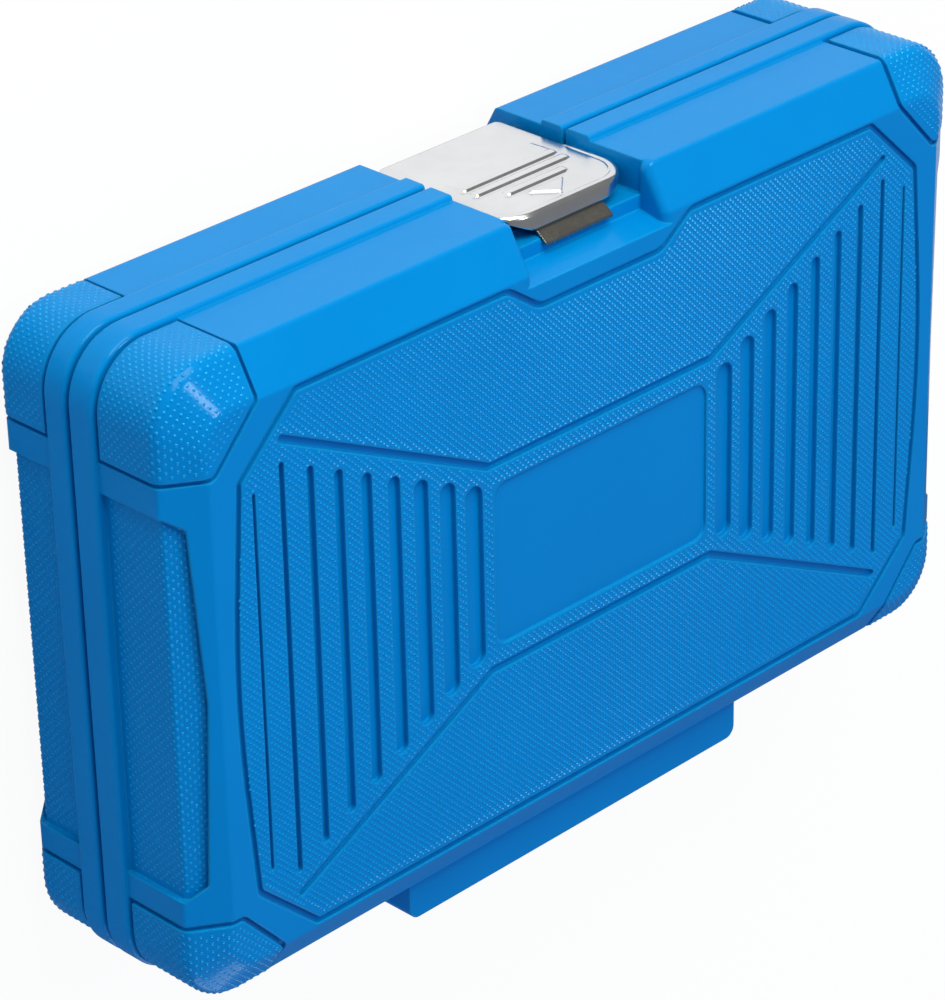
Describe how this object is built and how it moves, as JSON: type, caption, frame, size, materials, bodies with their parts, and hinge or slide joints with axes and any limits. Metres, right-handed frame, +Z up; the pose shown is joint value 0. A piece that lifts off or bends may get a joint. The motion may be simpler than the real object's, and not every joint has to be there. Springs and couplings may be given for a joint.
{
  "type": "socket wrench set in case",
  "caption": "Rounded plastic case with ribbed lid and snap latch, holding a small ratchet, handles, extension bars, a universal joint and hexagon sockets in a moulded tray.",
  "frame": {"origin": "centre of the bounding box in plan, on the flat back face that the case lies on", "axes": "+X along the case, -Y towards the latch, +Y towards the hinge, +Z up through the lid"},
  "size_m": [0.2628, 0.172, 0.0615],
  "materials": {
    "case_plastic": "semi-gloss moulded blue",
    "latch_chrome": "bright plated",
    "keeper_steel": "plain bent strip",
    "pin_steel": "drawn wire",
    "tool_chrome": "satin plated",
    "grip_plastic": "black moulded grip"
  },
  "bodies": {
    "base": {"base_shell": "case_plastic", "hinge_pin": "pin_steel", "latch_pin": "pin_steel"},
    "lid": {"lid_shell": "case_plastic", "latch_keeper": "keeper_steel"},
    "latch": {"latch_plate": "latch_chrome"},
    "ratchet": {"ratchet_handle": "tool_chrome", "ratchet_grip": "grip_plastic", "ratchet_cover": "tool_chrome", "ratchet_pawl": "pin_steel"},
    "ratchet_drive": {"ratchet_gear": "pin_steel", "ratchet_drive": "tool_chrome", "ratchet_ball": "pin_steel"},
    "ratchet_lever": {"ratchet_lever": "tool_chrome"},
    "ratchet_button": {"ratchet_button": "tool_chrome"},
    "spinner": {"spinner_grip": "grip_plastic", "spinner_shank": "tool_chrome"},
    "extension_short": {"extension_short": "tool_chrome"},
    "extension_long": {"extension_long": "tool_chrome"},
    "tbar": {"tbar_rod": "tool_chrome"},
    "tbar_slider": {"tbar_slider": "tool_chrome"},
    "ujoint": {"ujoint_socket_yoke": "tool_chrome"},
    "ujoint_cross": {"ujoint_cross": "pin_steel"},
    "ujoint_drive": {"ujoint_drive_yoke": "tool_chrome"},
    "socket_14": {"socket_14": "tool_chrome"},
    "socket_13": {"socket_13": "tool_chrome"},
    "socket_12": {"socket_12": "tool_chrome"},
    "socket_11": {"socket_11": "tool_chrome"},
    "socket_10": {"socket_10": "tool_chrome"},
    "socket_9": {"socket_9": "tool_chrome"},
    "socket_8": {"socket_8": "tool_chrome"},
    "socket_7": {"socket_7": "tool_chrome"},
    "socket_6": {"socket_6": "tool_chrome"},
    "socket_5_5": {"socket_5_5": "tool_chrome"},
    "socket_5": {"socket_5": "tool_chrome"},
    "socket_4_5": {"socket_4_5": "tool_chrome"},
    "socket_4": {"socket_4": "tool_chrome"}
  },
  "joints": [
    {"name": "lid_hinge", "type": "hinge", "parent": "base", "child": "lid", "pos_m": [0, 0.08275, 0.0285], "axis": [-1, 0, 0], "range_deg": [0, 155]},
    {"name": "latch_swing", "type": "hinge", "parent": "base", "child": "latch", "pos_m": [0, -0.0806, 0.012], "axis": [1, 0, 0], "range_deg": [0, 100]},
    {"name": "ratchet_lift", "type": "slide", "parent": "base", "child": "ratchet", "axis": [0, 0, 1], "range_m": [0, 0.015]},
    {"name": "drive_spin", "type": "hinge", "parent": "ratchet", "child": "ratchet_drive", "pos_m": [-0.095, 0.045, 0.027], "axis": [0, 0, 1], "continuous": true},
    {"name": "lever_flip", "type": "hinge", "parent": "ratchet", "child": "ratchet_lever", "pos_m": [-0.0858, 0.045, 0.034], "axis": [0, 0, 1], "range_deg": [0, 36]},
    {"name": "button_press", "type": "slide", "parent": "ratchet_drive", "child": "ratchet_button", "axis": [0, 0, -1], "range_m": [0, 0.0013], "stiffness_N_per_m": 400},
    {"name": "spinner_lift", "type": "slide", "parent": "base", "child": "spinner", "axis": [0, 0, 1], "range_m": [0, 0.015]},
    {"name": "extension_short_lift", "type": "slide", "parent": "base", "child": "extension_short", "axis": [0, 0, 1], "range_m": [0, 0.015]},
    {"name": "extension_long_lift", "type": "slide", "parent": "base", "child": "extension_long", "axis": [0, 0, 1], "range_m": [0, 0.015]},
    {"name": "tbar_lift", "type": "slide", "parent": "base", "child": "tbar", "axis": [0, 0, 1], "range_m": [0, 0.015]},
    {"name": "tbar_slide", "type": "slide", "parent": "tbar", "child": "tbar_slider", "axis": [1, 0, 0], "range_m": [-0.035, 0.035]},
    {"name": "ujoint_lift", "type": "slide", "parent": "base", "child": "ujoint", "axis": [0, 0, 1], "range_m": [0, 0.015]},
    {"name": "ujoint_turn", "type": "hinge", "parent": "ujoint", "child": "ujoint_cross", "pos_m": [0.075, 0.045, 0.024], "axis": [0, 0, 1], "range_deg": [-35, 35]},
    {"name": "ujoint_tilt", "type": "hinge", "parent": "ujoint_cross", "child": "ujoint_drive", "pos_m": [0.075, 0.045, 0.024], "axis": [0, 1, 0], "range_deg": [-35, 35]},
    {"name": "socket_14_lift", "type": "slide", "parent": "base", "child": "socket_14", "axis": [0, 0, 1], "range_m": [0, 0.015]},
    {"name": "socket_13_lift", "type": "slide", "parent": "base", "child": "socket_13", "axis": [0, 0, 1], "range_m": [0, 0.015]},
    {"name": "socket_12_lift", "type": "slide", "parent": "base", "child": "socket_12", "axis": [0, 0, 1], "range_m": [0, 0.015]},
    {"name": "socket_11_lift", "type": "slide", "parent": "base", "child": "socket_11", "axis": [0, 0, 1], "range_m": [0, 0.015]},
    {"name": "socket_10_lift", "type": "slide", "parent": "base", "child": "socket_10", "axis": [0, 0, 1], "range_m": [0, 0.015]},
    {"name": "socket_9_lift", "type": "slide", "parent": "base", "child": "socket_9", "axis": [0, 0, 1], "range_m": [0, 0.015]},
    {"name": "socket_8_lift", "type": "slide", "parent": "base", "child": "socket_8", "axis": [0, 0, 1], "range_m": [0, 0.015]},
    {"name": "socket_7_lift", "type": "slide", "parent": "base", "child": "socket_7", "axis": [0, 0, 1], "range_m": [0, 0.015]},
    {"name": "socket_6_lift", "type": "slide", "parent": "base", "child": "socket_6", "axis": [0, 0, 1], "range_m": [0, 0.015]},
    {"name": "socket_5_5_lift", "type": "slide", "parent": "base", "child": "socket_5_5", "axis": [0, 0, 1], "range_m": [0, 0.015]},
    {"name": "socket_5_lift", "type": "slide", "parent": "base", "child": "socket_5", "axis": [0, 0, 1], "range_m": [0, 0.015]},
    {"name": "socket_4_5_lift", "type": "slide", "parent": "base", "child": "socket_4_5", "axis": [0, 0, 1], "range_m": [0, 0.015]},
    {"name": "socket_4_lift", "type": "slide", "parent": "base", "child": "socket_4", "axis": [0, 0, 1], "range_m": [0, 0.015]}
  ]
}
